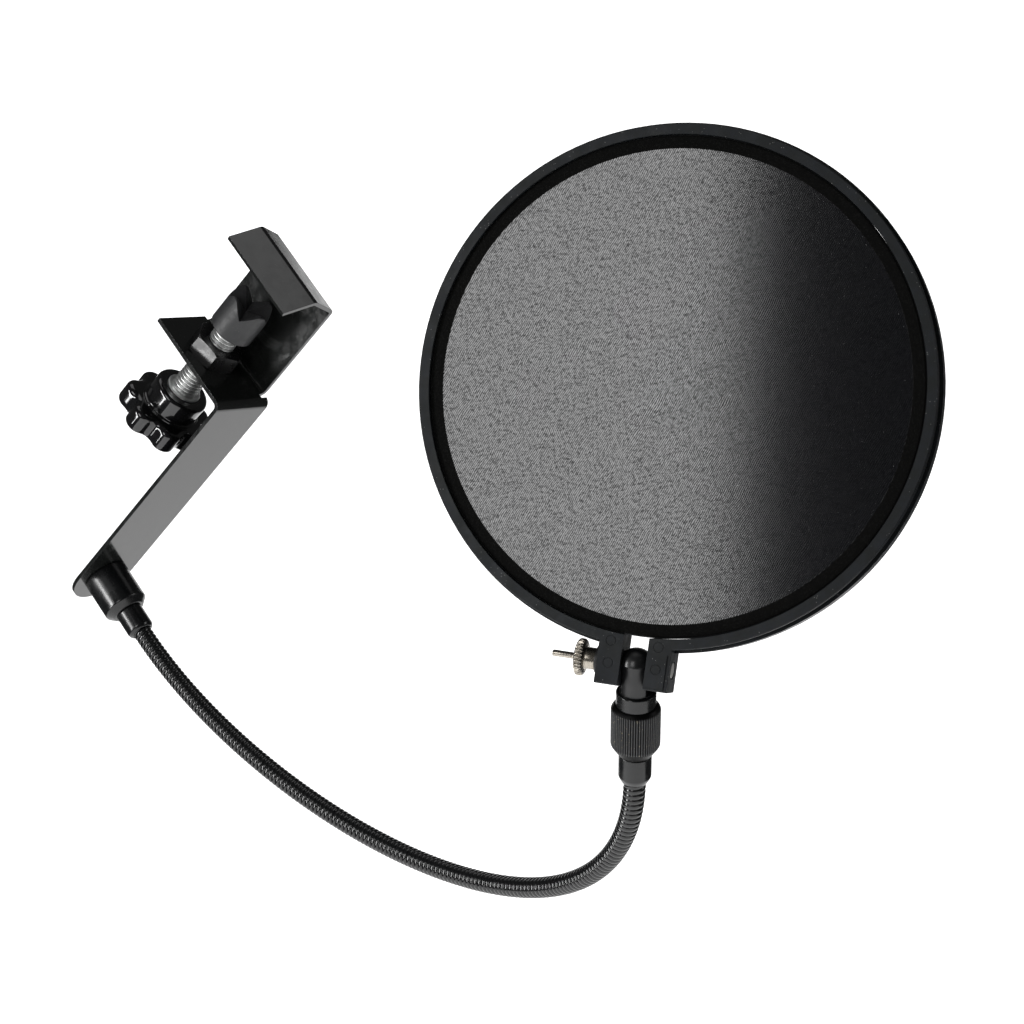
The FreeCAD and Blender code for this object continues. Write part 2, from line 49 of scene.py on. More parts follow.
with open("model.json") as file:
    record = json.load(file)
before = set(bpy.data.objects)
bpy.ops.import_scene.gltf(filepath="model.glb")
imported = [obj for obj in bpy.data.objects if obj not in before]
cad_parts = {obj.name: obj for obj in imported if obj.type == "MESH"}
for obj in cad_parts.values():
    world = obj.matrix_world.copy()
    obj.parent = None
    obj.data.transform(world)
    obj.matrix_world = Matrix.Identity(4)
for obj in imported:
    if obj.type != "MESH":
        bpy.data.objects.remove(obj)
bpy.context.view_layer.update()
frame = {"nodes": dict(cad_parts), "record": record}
joints = {j["name"]: j for j in frame["record"]["behaviour"]["joints"]}
MM = 0.001
TAU = 2 * math.pi


# ======================================================================
# local frames
# ======================================================================
def axis_of(name):
    return Vector(joints[name]["axis"]).normalized()


def point_of(name):
    return Vector(joints[name]["pos_m"])


def centre_of(node):
    low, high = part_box(node)
    return (Vector(low) + Vector(high)) / 2


def make_frame(origin, x_dir, z_dir):
    z = z_dir.normalized()
    x = (x_dir - z * x_dir.dot(z)).normalized()
    y = z.cross(x)
    m = Matrix((x, y, z)).transposed().to_4x4()
    m.translation = origin
    return m


CLAMP = make_frame(point_of("clamp_screw_turn"), axis_of("base_swivel"), axis_of("jaw_travel"))
BASE = make_frame(point_of("base_swivel"), axis_of("jaw_travel"), axis_of("base_swivel"))
RIGHT = axis_of("hoop_tilt")
FRONT = (centre_of("front_mesh") - centre_of("rear_mesh")).normalized()
MESH_CENTRE_Z = -0.99                       # middle of the front mesh under the lip
HOOP = make_frame(centre_of("front_mesh") - FRONT * MESH_CENTRE_Z * MM, RIGHT, FRONT)
HEAD = make_frame(point_of("hoop_tilt"), RIGHT, -axis_of("head_swivel"))
CROSS = make_frame(point_of("hoop_tilt"), FRONT, RIGHT)

# gooseneck route, as in the CAD model (millimetres)
NECK_R = 3.5
ROUTE_START_Z = 27.0
ROUTE_END_Z = 41.0
BASE_HANDLE = 76.0
TIP_HANDLE = 57.2
ROUTE_BELLY = Vector((77.5, -10.4, -224.8))
RIB_PITCH = 1.85
NECK_BODIES = ["neck_base"] + ["neck_%02d" % k for k in range(2, 9)] + ["neck_tip"]
STRETCHES = len(NECK_BODIES) - 1            # each one spans the joint at its middle


# ======================================================================
# mesh helpers
# ======================================================================
def new_piece(name, verts, faces, place, body, slot, materials):
    """A mesh piece drawn in millimetres in the local frame `place`."""
    mesh = bpy.data.meshes.new(name)
    mesh.from_pydata([Vector(v) * MM for v in verts], [], faces)
    mesh.validate()
    mesh.update()
    for material in materials:
        mesh.materials.append(material)
    mesh.polygons.foreach_set("use_smooth", [True] * len(mesh.polygons))
    piece = bpy.data.objects.new(name, mesh)
    bpy.context.scene.collection.objects.link(piece)
    piece.matrix_world = place
    if body:
        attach(piece, body)
    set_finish(piece, slot)
    return piece


def soften(piece, width, angle=32):
    """Rounds the sharp edges by width millimetres and evens the shading."""
    bevel = piece.modifiers.new("edges", "BEVEL")
    bevel.width = width * MM
    bevel.segments = 3
    bevel.limit_method = "ANGLE"
    bevel.angle_limit = math.radians(angle)
    bevel.use_clamp_overlap = True
    weighted = piece.modifiers.new("shading", "WEIGHTED_NORMAL")
    weighted.keep_sharp = False
    weighted.weight = 80
    return piece


def from_cad(node, name, body, slot, material, width):
    """A copy of a CAD node with clean faces and softened edges."""
    source = frame["nodes"][node]
    mesh = source.data.copy()
    mesh.name = name
    piece = bpy.data.objects.new(name, mesh)
    bpy.context.scene.collection.objects.link(piece)
    piece.matrix_world = source.matrix_world.copy()
    mesh.materials.clear()
    mesh.materials.append(material)
    bm = bmesh.new()
    bm.from_mesh(mesh)
    bmesh.ops.remove_doubles(bm, verts=bm.verts, dist=2e-6)
    bmesh.ops.dissolve_limit(bm, angle_limit=math.radians(0.6), verts=bm.verts, edges=bm.edges)
    for face in bm.faces:
        face.smooth = True
        face.material_index = 0
    bm.to_mesh(mesh)
    bm.free()
    if mesh.has_custom_normals:
        mesh.normals_split_custom_set([(0, 0, 0)] * len(mesh.loops))
    soften(piece, width)
    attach(piece, body)
    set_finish(piece, slot)
    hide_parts(node)


def lathe(name, profile, place, body, slot, materials, steps=96, width=0.2, shape=None):
    """Revolves (radius, z) points. shape(angle, index) may scale a ring's radius."""
    verts = []
    faces = []
    rings = []
    for i, (r, z) in enumerate(profile):
        if r < 1e-6:
            rings.append([len(verts)])
            verts.append((0, 0, z))
            continue
        ring = []
        for k in range(steps):
            a = TAU * k / steps
            rr = r * shape(a, i) if shape else r
            ring.append(len(verts))
            verts.append((rr * math.cos(a), rr * math.sin(a), z))
        rings.append(ring)
    for low, high in zip(rings, rings[1:]):
        for k in range(steps):
            j = (k + 1) % steps
            if len(low) == 1 and len(high) == 1:
                continue
            if len(low) == 1:
                faces.append((low[0], high[j], high[k]))
            elif len(high) == 1:
                faces.append((low[k], low[j], high[0]))
            else:
                faces.append((low[k], low[j], high[j], high[k]))
    piece = new_piece(name, verts, faces, place, body, slot, materials)
    if width:
        soften(piece, width)
    return piece


# ======================================================================
# material helpers
# ======================================================================
class Look:
    """A node material. Coordinates are the piece's own, in metres."""

    def __init__(self, name, colour, roughness, metallic=0.0, coat=0.0, ior=1.5):
        self.material = bpy.data.materials.new(name)
        self.material.use_nodes = True
        self.tree = self.material.node_tree
        self.shader = self.tree.nodes["Principled BSDF"]
        self.set("Base Color", (*colour, 1))
        self.set("Roughness", roughness)
        self.set("Metallic", metallic)
        self.set("Coat Weight", coat)
        self.set("Coat Roughness", 0.08)
        self.set("IOR", ior)
        self.coords = self.node("ShaderNodeTexCoord").outputs["Object"]

    def node(self, kind, **settings):
        node = self.tree.nodes.new(kind)
        for key, value in settings.items():
            setattr(node, key, value)
        return node

    def link(self, source, target):
        self.tree.links.new(source, target)

    def set(self, socket, value):
        target = self.shader.inputs[socket]
        if isinstance(value, bpy.types.NodeSocket):
            self.link(value, target)
        else:
            target.default_value = value

    def feed(self, node, index, value):
        if isinstance(value, bpy.types.NodeSocket):
            self.link(value, node.inputs[index])
        else:
            node.inputs[index].default_value = value

    def math(self, operation, a, b=0.0, clamp=False):
        node = self.node("ShaderNodeMath", operation=operation, use_clamp=clamp)
        for index, value in enumerate((a, b)):
            self.feed(node, index, value)
        return node.outputs[0]

    def noise(self, scale, detail=2.0, roughness=0.5, vector=None, stretch=None):
        vector = vector or self.coords
        if stretch:
            mapping = self.node("ShaderNodeMapping")
            self.link(vector, mapping.inputs["Vector"])
            mapping.inputs["Scale"].default_value = stretch
            vector = mapping.outputs[0]
        node = self.node("ShaderNodeTexNoise")
        self.link(vector, node.inputs["Vector"])
        node.inputs["Scale"].default_value = scale
        node.inputs["Detail"].default_value = detail
        node.inputs["Roughness"].default_value = roughness
        return node.outputs["Fac"]

    def ramp(self, value, low, high, out_low=0.0, out_high=1.0):
        node = self.node("ShaderNodeMapRange", interpolation_type="SMOOTHSTEP")
        for index, item in enumerate((value, low, high, out_low, out_high)):
            self.feed(node, index, item)
        return node.outputs[0]

    def blend(self, factor, a, b):
        node = self.node("ShaderNodeMix", data_type="RGBA")
        self.feed(node, 0, factor)
        self.feed(node, 6, (*a, 1) if isinstance(a, tuple) else a)
        self.feed(node, 7, (*b, 1) if isinstance(b, tuple) else b)
        return node.outputs[2]

    def split(self):
        node = self.node("ShaderNodeSeparateXYZ")
        self.link(self.coords, node.inputs[0])
        return node.outputs

    def radius(self):
        """Distance from the piece's local z axis, in metres."""
        x, y, _ = self.split()
        squares = self.math("ADD", self.math("MULTIPLY", x, x), self.math("MULTIPLY", y, y))
        return self.math("SQRT", squares)

    def bump(self, height, distance, strength):
        node = self.node("ShaderNodeBump")
        node.inputs["Strength"].default_value = strength
        node.inputs["Distance"].default_value = distance
        self.link(height, node.inputs["Height"])
        self.set("Normal", node.outputs[0])

    def specks(self, scale, threshold):
        """Sparse small dust specks, 0 to 1."""
        node = self.node("ShaderNodeTexVoronoi")
        self.link(self.coords, node.inputs["Vector"])
        node.inputs["Scale"].default_value = scale
        near = self.ramp(node.outputs["Distance"], 0.08, 0.16, 1.0, 0.0)
        rare = self.ramp(self.noise(scale * 0.37, 0.0), threshold, threshold + 0.04)
        return self.math("MULTIPLY", near, rare)


def gloss_paint():
    look = Look("gloss_black_paint", (0.010, 0.011, 0.0105), 0.14, ior=1.62)
    fine = look.noise(260, 3, 0.6)
    scuffs = look.ramp(look.noise(900, 2, 0.7, stretch=(1, 0.08, 1)), 0.60, 0.74)
    roughness = look.math("ADD", look.ramp(fine, 0.3, 0.7, 0.11, 0.19), look.math("MULTIPLY", scuffs, 0.08))
    look.set("Roughness", roughness)
    dust = look.specks(1500, 0.66)
    look.set("Base Color", look.blend(look.math("MULTIPLY", dust, 0.5), (0.010, 0.011, 0.0105),
                                      (0.16, 0.16, 0.15)))
    look.bump(look.noise(1100, 2, 0.5), 0.00001, 0.2)
    return look.material


def satin_black(name="satin_black", tone=(0.013, 0.014, 0.0155), roughness=0.34):
    look = Look(name, tone, roughness, ior=1.55)
    cloud = look.noise(180, 4, 0.6)
    look.set("Roughness", look.ramp(cloud, 0.3, 0.7, roughness - 0.06, roughness + 0.09))
    dust = look.specks(1900, 0.69)
    lighter = tuple(1.7 * c for c in tone)
    worn = look.blend(look.ramp(look.noise(420, 5, 0.7), 0.55, 0.75, 0.0, 0.6), tone, lighter)
    look.set("Base Color", look.blend(look.math("MULTIPLY", dust, 0.55), worn, (0.24, 0.23, 0.2)))
    look.bump(look.noise(7000, 2, 0.6), 0.000012, 0.5)
    return look.material


def knurled_black():
    """Satin black with bright metal showing on some of the knurl's crests, and painted shade darkening its
    grooves.
    """
    tone = (0.012, 0.013, 0.0145)
    look = Look("knurled_black", tone, 0.36, ior=1.55)
    crest = look.ramp(look.radius(), 7.42 * MM, 7.52 * MM)
    chips = look.ramp(look.noise(1500, 4, 0.75), 0.605, 0.65)
    chips = look.math("MULTIPLY", crest, chips)
    # painted shade: the colour runs from near black in the knurl's grooves to lighter on its crests; the
    # specular level also drops in the grooves
    groove = look.ramp(look.radius(), 7.24 * MM, 7.54 * MM, 0.0, 1.0)
    shade = look.blend(groove, (0.002, 0.002, 0.002), (0.024, 0.026, 0.028))
    look.set("Specular IOR Level", look.ramp(groove, 0.0, 1.0, 0.08, 0.5))
    look.set("Base Color", look.blend(look.math("MULTIPLY", chips, 0.75), shade, (0.42, 0.36, 0.25)))
    look.set("Metallic", look.math("MULTIPLY", chips, 0.8))
    look.set("Roughness", look.ramp(look.noise(300, 3, 0.6), 0.3, 0.7, 0.30, 0.44))
    look.bump(look.noise(6000, 2, 0.6), 0.000012, 0.5)
    return look.material


def gooseneck_black():
    look = Look("gooseneck_black", (0.006, 0.0064, 0.0068), 0.17, ior=1.6)
    look.set("Roughness", look.ramp(look.noise(500, 3, 0.6), 0.3, 0.7, 0.13, 0.24))
    rub = look.ramp(look.noise(240, 4, 0.7), 0.58, 0.72, 0.0, 0.5)
    look.set("Base Color", look.blend(rub, (0.006, 0.0064, 0.0068), (0.014, 0.015, 0.016)))
    look.bump(look.noise(2600, 2, 0.6), 0.00001, 0.4)
    return look.material


def plated(name, bright, dark, roughness, stretch, groove=None, fine=0.6):
    """Plated steel; groove is the radius in millimetres below which painted shade darkens the colour of the
    roots.
    """
    look = Look(name, bright, roughness, metallic=1.0)
    cloud = look.ramp(look.noise(420, 3, 0.6, stretch=stretch), 0.35, 0.75)
    colour = look.blend(cloud, bright, dark)
    if groove:
        reach = look.radius()
        # painted shade: below the groove radius the colour is blended towards dark grey in the thread roots
        # and knurl valleys
        painted_root_shade = look.ramp(reach, (groove - 0.25) * MM, (groove + 0.25) * MM, 1.0, 0.0)
        painted_root_shade = look.math("MULTIPLY", painted_root_shade, look.ramp(reach, (groove - 0.8) * MM, (groove - 0.6) * MM))
        colour = look.blend(look.math("MULTIPLY", painted_root_shade, 0.7), colour, (0.10, 0.10, 0.10))
    look.set("Base Color", colour)
    look.set("Roughness", look.ramp(look.noise(1500, 3, 0.6, stretch=stretch), 0.3, 0.7,
                                    roughness - 0.05, roughness + 0.08))
    look.bump(look.noise(5000, 2, 0.6, stretch=stretch), 0.00001, fine)
    return look.material


def gloss_knob():
    look = Look("gloss_black_knob", (0.006, 0.006, 0.0065), 0.08, coat=0.4, ior=1.55)
    look.set("Roughness", look.ramp(look.noise(350, 3, 0.6), 0.35, 0.75, 0.06, 0.16))
    dust = look.specks(1300, 0.68)
    look.set("Base Color", look.blend(look.math("MULTIPLY", dust, 0.35), (0.006, 0.006, 0.0065),
                                      (0.2, 0.2, 0.2)))
    look.bump(look.noise(420, 2, 0.5), 0.00003, 0.25)
    return look.material


def matt_pad():
    tone = (0.026, 0.0265, 0.028)
    look = Look("matt_black_pad", tone, 0.5)
    look.set("Roughness", look.ramp(look.noise(500, 4, 0.6), 0.3, 0.7, 0.40, 0.56))
    dust = look.specks(1500, 0.62)
    look.set("Base Color", look.blend(look.math("MULTIPLY", dust, 0.6), tone, (0.22, 0.22, 0.21)))
    look.bump(look.noise(4200, 3, 0.7), 0.00004, 0.6)
    return look.material


def hoop_plastic():
    """Satin moulded plastic, paler and dustier on the lugs below the ring."""
    look = Look("hoop_plastic", (0.014, 0.0155, 0.0145), 0.42)
    look.set("Specular IOR Level", 0.18)
    y = look.split()[1]
    lug = look.ramp(y, -81.5 * MM, -78.5 * MM, 1.0, 0.0)
    handled = look.ramp(look.noise(230, 5, 0.7), 0.35, 0.7, 0.35, 1.0)
    tone = look.blend(look.math("MULTIPLY", lug, handled), (0.0125, 0.0138, 0.0125), (0.016, 0.0185, 0.022))
    dust = look.math("MULTIPLY", look.specks(1150, 0.60), look.ramp(lug, 0.0, 1.0, 0.35, 0.8))
    look.set("Base Color", look.blend(dust, tone, (0.32, 0.32, 0.31)))
    look.set("Roughness", look.ramp(look.noise(150, 4, 0.6), 0.3, 0.7, 0.34, 0.5))
    look.bump(look.noise(2600, 3, 0.65), 0.00002, 0.55)
    return look.material


def woven_nylon(name, turn, seed):
    """Fine close weave of two sets of threads, with an opaque black hem at the rim."""
    pitch = 0.55 * MM
    cover = 0.90
    look = Look(name, (0.05, 0.05, 0.052), 0.42)
    x, y, _ = look.split()
    # threads wander a little across the disc
    drift = look.noise(95, 1, 0.5, stretch=(1, 1.6, seed))
    drift = look.math("MULTIPLY", look.math("SUBTRACT", drift, 0.5), 1.4 * MM)
    sway = look.noise(80, 1, 0.5, stretch=(seed, 1, 1.4))
    sway = look.math("MULTIPLY", look.math("SUBTRACT", sway, 0.5), 1.4 * MM)
    x = look.math("ADD", x, drift)
    y = look.math("ADD", y, sway)
    c, s = math.cos(math.radians(turn)), math.sin(math.radians(turn))
    across = look.math("ADD", look.math("MULTIPLY", x, c), look.math("MULTIPLY", y, s))
    along = look.math("SUBTRACT", look.math("MULTIPLY", y, c), look.math("MULTIPLY", x, s))
    u = look.math("DIVIDE", across, pitch)
    v = look.math("DIVIDE", along, pitch)

    def thread(t):
        """Cover 0 or 1 and round height of the threads that run across t."""
        middle = look.math("SUBTRACT", look.math("FRACT", t), 0.5)
        off = look.math("MULTIPLY", look.math("ABSOLUTE", middle), 2 / cover)
        solid = look.math("LESS_THAN", off, 1.0)
        rise = look.math("SQRT", look.math("SUBTRACT", 1.0, look.math("MULTIPLY", off, off), clamp=True))
        return solid, rise

    over = look.math("MULTIPLY", look.math("SINE", look.math("MULTIPLY", u, math.pi)),
                     look.math("SINE", look.math("MULTIPLY", v, math.pi)))
    solid_u, rise_u = thread(u)
    solid_v, rise_v = thread(v)
    height_u = look.math("ADD", rise_u, look.math("MULTIPLY", over, 0.9))
    height_v = look.math("SUBTRACT", rise_v, look.math("MULTIPLY", over, 0.9))
    height = look.math("MAXIMUM", look.math("MULTIPLY", solid_u, height_u),
                       look.math("MULTIPLY", solid_v, height_v))
    hem = look.ramp(look.radius(), (BAND_R - 0.12) * MM, (BAND_R + 0.12) * MM)
    cloth = look.math("MAXIMUM", look.math("MAXIMUM", solid_u, solid_v), look.math("GREATER_THAN", hem, 0.5))
    # short uneven glints that run along one set of threads, painted into the colour as painted highlights and
    # also raising the specular level
    lay = look.node("ShaderNodeCombineXYZ")
    look.link(u, lay.inputs[0])
    look.link(look.math("MULTIPLY", v, 0.3), lay.inputs[1])
    glint = look.noise(1.5, 2, 0.6, vector=lay.outputs[0])
    glint_fleck = look.noise(1500, 3, 0.8, stretch=(0.5, 1.2, seed))
    # painted highlight on the thread crests and painted shade between the threads
    crest = look.ramp(look.math("ADD", rise_u, look.math("MULTIPLY", over, 0.15)), 0.2, 0.95)
    tone = look.math("MULTIPLY", look.ramp(glint, 0.36, 0.64, 0.40, 1.0),
                     look.ramp(glint_fleck, 0.34, 0.60, 0.5, 1.0))
    tone = look.math("MULTIPLY", tone, look.ramp(crest, 0.0, 1.0, 0.08, 1.0))
    # painted glints and crest highlights: the nylon colour is lighter where tone is high
    nylon = look.blend(tone, (0.003, 0.0032, 0.004), (0.009, 0.0096, 0.0115))
    fuzz = look.noise(2600, 4, 0.8)
    black = look.blend(look.ramp(fuzz, 0.5, 0.8), (0.006, 0.006, 0.0058), (0.026, 0.026, 0.025))
    look.set("Base Color", look.blend(hem, nylon, black))
    shine = look.ramp(glint, 0.3, 0.7, 0.12, 0.09)
    look.set("Roughness", look.math("MAXIMUM", shine, look.math("MULTIPLY", hem, 0.95)))
    level = look.ramp(tone, 0.03, 0.75, 0.08, 1.0)
    look.set("Specular IOR Level", look.math("SUBTRACT", level, look.math("MULTIPLY", hem, 0.95), clamp=True))
    look.set("IOR", 1.53)
    # the ribbed stack of threads is rounded; the hem has its own nap
    surface = look.math("ADD", look.math("MULTIPLY", height, look.math("SUBTRACT", 1.0, hem)),
                        look.math("MULTIPLY", fuzz, look.math("MULTIPLY", hem, 1.4)))
    look.bump(surface, 0.07 * MM, 0.03)
    clear = look.node("ShaderNodeBsdfTransparent")
    mixer = look.node("ShaderNodeMixShader")
    output = look.tree.nodes["Material Output"]
    look.link(cloth, mixer.inputs[0])
    look.link(clear.outputs[0], mixer.inputs[1])
    look.link(look.shader.outputs[0], mixer.inputs[2])
    look.link(mixer.outputs[0], output.inputs["Surface"])
    return look.material


MESH_R = 74.3
BAND_R = 70.5                               # inner edge of the black hem

PAINT = gloss_paint()
OXIDE = satin_black("black_oxide", (0.006, 0.006, 0.0063), 0.24)
ZINC = plated("bright_zinc", (0.80, 0.81, 0.80), (0.68, 0.69, 0.68), 0.42, (1, 1, 1), groove=4.38, fine=0.05)
KNOB = gloss_knob()
PAD = matt_pad()
SATIN = satin_black(tone=(0.005, 0.0055, 0.006), roughness=0.22)
STUB_BLACK = satin_black("stub_black", (0.0045, 0.0048, 0.0054), 0.34)
KNURL = knurled_black()
NECK = gooseneck_black()
HOOP_BLACK = hoop_plastic()
INNER_BLACK = satin_black("inner_hoop_plastic", (0.02, 0.021, 0.022), 0.5)
NICKEL = plated("nickel", (0.50, 0.46, 0.40), (0.34, 0.31, 0.26), 0.26, (1, 1, 4), groove=5.1, fine=0.3)
INSERT = plated("insert_nickel", (0.80, 0.79, 0.76), (0.66, 0.65, 0.62), 0.52, (1, 1, 1), fine=0.3)
WASHER = satin_black("washer_black", (0.01, 0.01, 0.01), 0.5)


# ======================================================================
# clamp
# ======================================================================
THREAD_CREST = 5.0
THREAD_ROOT = 4.12
THREAD_PITCH = 1.5
HUB_TOP = -18.6
LOBE_TOP = -27.5
LOBE_BOTTOM = -36.3
LOBES = 7
LOBE_TURN = math.radians(18.3)
LOBE_CIRCLE = 12.2
LOBE_R = 5.2
FLUTE_R = 3.4
VALLEY_R = 14.0
HUB_R = 10.4

from_cad("bracket", "bracket_painted", "clamp", "painted_steel", PAINT, 0.22)
from_cad("clamp_nut", "clamp_nut_steel", "clamp", "black_oxide_steel", OXIDE, 0.2)
from_cad("jaw_pad", "jaw_pad_rubber", "pad_slide", "pad_plastic", PAD, 0.35)
from_cad("pad_snap_ring", "snap_ring_steel", "pad_slide", "black_oxide_steel", OXIDE, 0.08)


def threaded_rod(name, z_low, z_high, place, body, slot, material):
    """A right-hand thread with flat crests and roots, cut off square at both ends."""
    steps = 72
    profile = [(0.0, THREAD_ROOT), (0.14, THREAD_ROOT), (0.44, THREAD_CREST - 0.03),
               (0.50, THREAD_CREST), (0.62, THREAD_CREST), (0.68, THREAD_CREST - 0.03)]
    turns = int((z_high - z_low) / THREAD_PITCH) + 3
    verts = []
    rows = []
    for turn in range(-1, turns):
        for part, r in profile:
            row = []
            for k in range(steps + 1):
                z = z_low + THREAD_PITCH * (turn + part + k / steps)
                fade = min(max((z_high - z) / 1.2, 0.0), 1.0)
                rr = THREAD_ROOT - 0.1 + (r - THREAD_ROOT + 0.1) * fade
                row.append(len(verts))
                a = TAU * k / steps
                verts.append((rr * math.cos(a), rr * math.sin(a), min(max(z, z_low), z_high)))
            rows.append(row)
    faces = []
    for low, high in zip(rows, rows[1:]):
        for k in range(steps):
            quad = [low[k], low[k + 1], high[k + 1], high[k]]
            heights = {round(verts[v][2], 6) for v in quad}
            if len(heights) > 1:
                faces.append(quad)
    piece = new_piece(name, verts, faces, place, body, slot, [material])
    return weld(piece, 0.002)


def weld(piece, distance):
    """Joins vertices nearer than distance millimetres and drops collapsed faces."""
    bm = bmesh.new()
    bm.from_mesh(piece.data)
    bmesh.ops.remove_doubles(bm, verts=bm.verts, dist=distance * MM)
    bmesh.ops.dissolve_degenerate(bm, edges=bm.edges, dist=distance * MM)
    loose = [v for v in bm.verts if not v.link_faces]
    bmesh.ops.delete(bm, geom=loose, context="VERTS")
    bm.to_mesh(piece.data)
    bm.free()
    return piece


rod = threaded_rod("clamp_screw_thread", HUB_TOP + 0.6, 13.6, CLAMP, "screw", "zinc_steel", ZINC)
shank = lathe("clamp_screw_shank",
              [(0, -31.4), (THREAD_ROOT - 0.1, -31.4), (THREAD_ROOT - 0.1, HUB_TOP + 0.7),
               (THREAD_ROOT - 0.1, 13.59), (3.0, 14.0), (3.0, 16.2), (2.3, 16.2),
               (2.3, 17.2), (3.0, 17.2), (3.0, 18.7), (2.7, 19.0), (0, 19.0)],
              CLAMP, "screw", "zinc_steel", [ZINC], 64, 0.1)
rim = lathe("clamp_screw_flange",
            [(4.0, HUB_TOP - 0.02), (6.6, HUB_TOP - 0.02), (6.6, HUB_TOP + 0.55),
             (6.2, HUB_TOP + 0.8), (4.0, HUB_TOP + 0.8)],
            CLAMP, "screw", "zinc_steel", [ZINC], 96, 0.12)
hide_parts("clamp_screw")
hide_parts("clamp_screw")
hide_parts("clamp_screw")


def star_outline(samples):
    """Seven round lobes with shallow flutes between them, as (x, y) points."""
    points = []
    for k in range(samples):
        a = TAU * k / samples
        off = (a + math.pi / LOBES) % (TAU / LOBES) - math.pi / LOBES
        inside = LOBE_R ** 2 - (LOBE_CIRCLE * math.sin(off)) ** 2
        lobe = LOBE_CIRCLE * math.cos(off) + math.sqrt(inside) if inside > 0 else 0.0
        lobe = max(lobe, VALLEY_R + 0.5)
        across = math.pi / LOBES - abs(off)
        reach = VALLEY_R + FLUTE_R
        inside = FLUTE_R ** 2 - (reach * math.sin(across)) ** 2
        flute = reach * math.cos(across) - math.sqrt(inside) if inside > 0 else 99.0
        r = min(lobe, flute)
        points.append((r * math.cos(a + LOBE_TURN), r * math.sin(a + LOBE_TURN)))
    return np.array(points)


def even_out(points, rounds):
    """Smooths a closed outline a little."""
    for _ in range(rounds):
        points = (np.roll(points, 1, 0) + 2 * points + np.roll(points, -1, 0)) / 4
    return points


def make_knob():
    samples = 336
    outline = even_out(star_outline(samples), 16)
    tangent = np.roll(outline, -1, 0) - np.roll(outline, 1, 0)
    inward = np.stack([-tangent[:, 1], tangent[:, 0]], 1)
    inward /= np.linalg.norm(inward, axis=1)[:, None]
    hub = []
    for k in range(samples):
        a = TAU * k / samples + LOBE_TURN
        hub.append((math.cos(a), math.sin(a)))
    hub = np.array(hub)
    rows = []
    edge = 2.0
    # underside, rounded edge, side, rounded edge, blend up to the hub
    for share in (0.0, 0.25, 0.5, 0.75):
        rows.append((outline * 0.80 * share, LOBE_BOTTOM))
    for step in range(9):
        a = math.pi / 2 * step / 8
        rows.append((outline + inward * edge * (1 - math.sin(a)),
                     LOBE_BOTTOM + edge * (1 - math.cos(a))))
    for step in range(1, 5):
        z = LOBE_BOTTOM + edge + (LOBE_TOP - LOBE_BOTTOM - 2 * edge) * step / 5
        rows.append((outline, z))
    for step in range(9):
        a = math.pi / 2 * step / 8
        rows.append((outline + inward * edge * (1 - math.cos(a)),
                     LOBE_TOP - edge * (1 - math.sin(a))))
    foot = rows[-1][0]
    # flat top of the lobes, the small step and the hub
    for share in (0.35, 0.7, 1.0):
        rows.append((foot * (1 - share) + hub * (HUB_R + 0.95) * share, LOBE_TOP))
    step_profile = ((0.78, 0.04), (0.72, 0.14), (0.7, 0.4), (0.62, 0.54), (0.4, 0.64), (0.16, 0.72),
                    (0.03, 0.9))
    for r, z in step_profile:
        rows.append((hub * (HUB_R + r), LOBE_TOP + z))
    rows.append((hub * HUB_R, LOBE_TOP + 1.3))
    for step in range(4):
        rows.append((hub * HUB_R, LOBE_TOP + 2.0 + step * 1.6))
    for step in range(9):
        a = math.pi / 2 * step / 8
        rows.append((hub * (HUB_R - 1.5 * (1 - math.cos(a))), HUB_TOP - 1.5 * (1 - math.sin(a))))
    for r in (8.0, 7.2, 6.9, THREAD_CREST):
        rows.append((hub * r, HUB_TOP))
    verts = []
    for ring, z in rows:
        for x, y in ring:
            verts.append((x, y, z))
    faces = []
    for i in range(len(rows) - 1):
        for k in range(samples):
            j = (k + 1) % samples
            faces.append((i * samples + k, i * samples + j, (i + 1) * samples + j, (i + 1) * samples + k))
    piece = new_piece("clamp_knob_lobed", verts, faces, CLAMP, "screw", "knob_plastic", [KNOB])
    weld(piece, 0.01)
    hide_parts("clamp_knob")


make_knob()


# ======================================================================
# gooseneck base fittings
# ======================================================================
from_cad("base_screw", "base_screw_head", "clamp", "black_oxide_steel", OXIDE, 0.25)

socket = lathe("base_socket_turned",
               [(3.1, 0.02), (7.9, 0.02), (8.25, 0.3), (8.3, 0.7), (8.3, 14.6), (8.22, 15.0),
                (8.0, 15.35), (6.1, 17.25), (5.7, 17.4), (4.6, 17.4), (4.5, 13.0), (3.1, 12.4)],
               BASE, "neck_base", "satin_black_metal", [SATIN], 128, 0.15)
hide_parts("base_socket")
ferrule = lathe("base_ferrule_turned",
                [(3.55, 15.1), (4.4, 12.6), (4.45, 17.0), (4.9, 17.5), (5.0, 17.8), (5.0, 25.2),
                 (4.85, 25.9), (4.55, 26.5), (4.1, 26.9), (3.8, 27.0), (3.55, 26.8)],
                BASE, "neck_base", "satin_black_metal", [SATIN], 96, 0.1)
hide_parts("base_ferrule")


# ======================================================================
# gooseneck: one wound skin, in eight stretches
# ======================================================================
def route_poles():
    start = BASE @ (Vector((0, 0, ROUTE_START_Z)) * MM)
    end = HEAD @ (Vector((0, 0, ROUTE_END_Z)) * MM)
    out = BASE.col[2].xyz.normalized()
    back = HEAD.col[2].xyz.normalized()
    return [start, start + out * BASE_HANDLE * MM, ROUTE_BELLY * MM, end + back * TIP_HANDLE * MM, end]


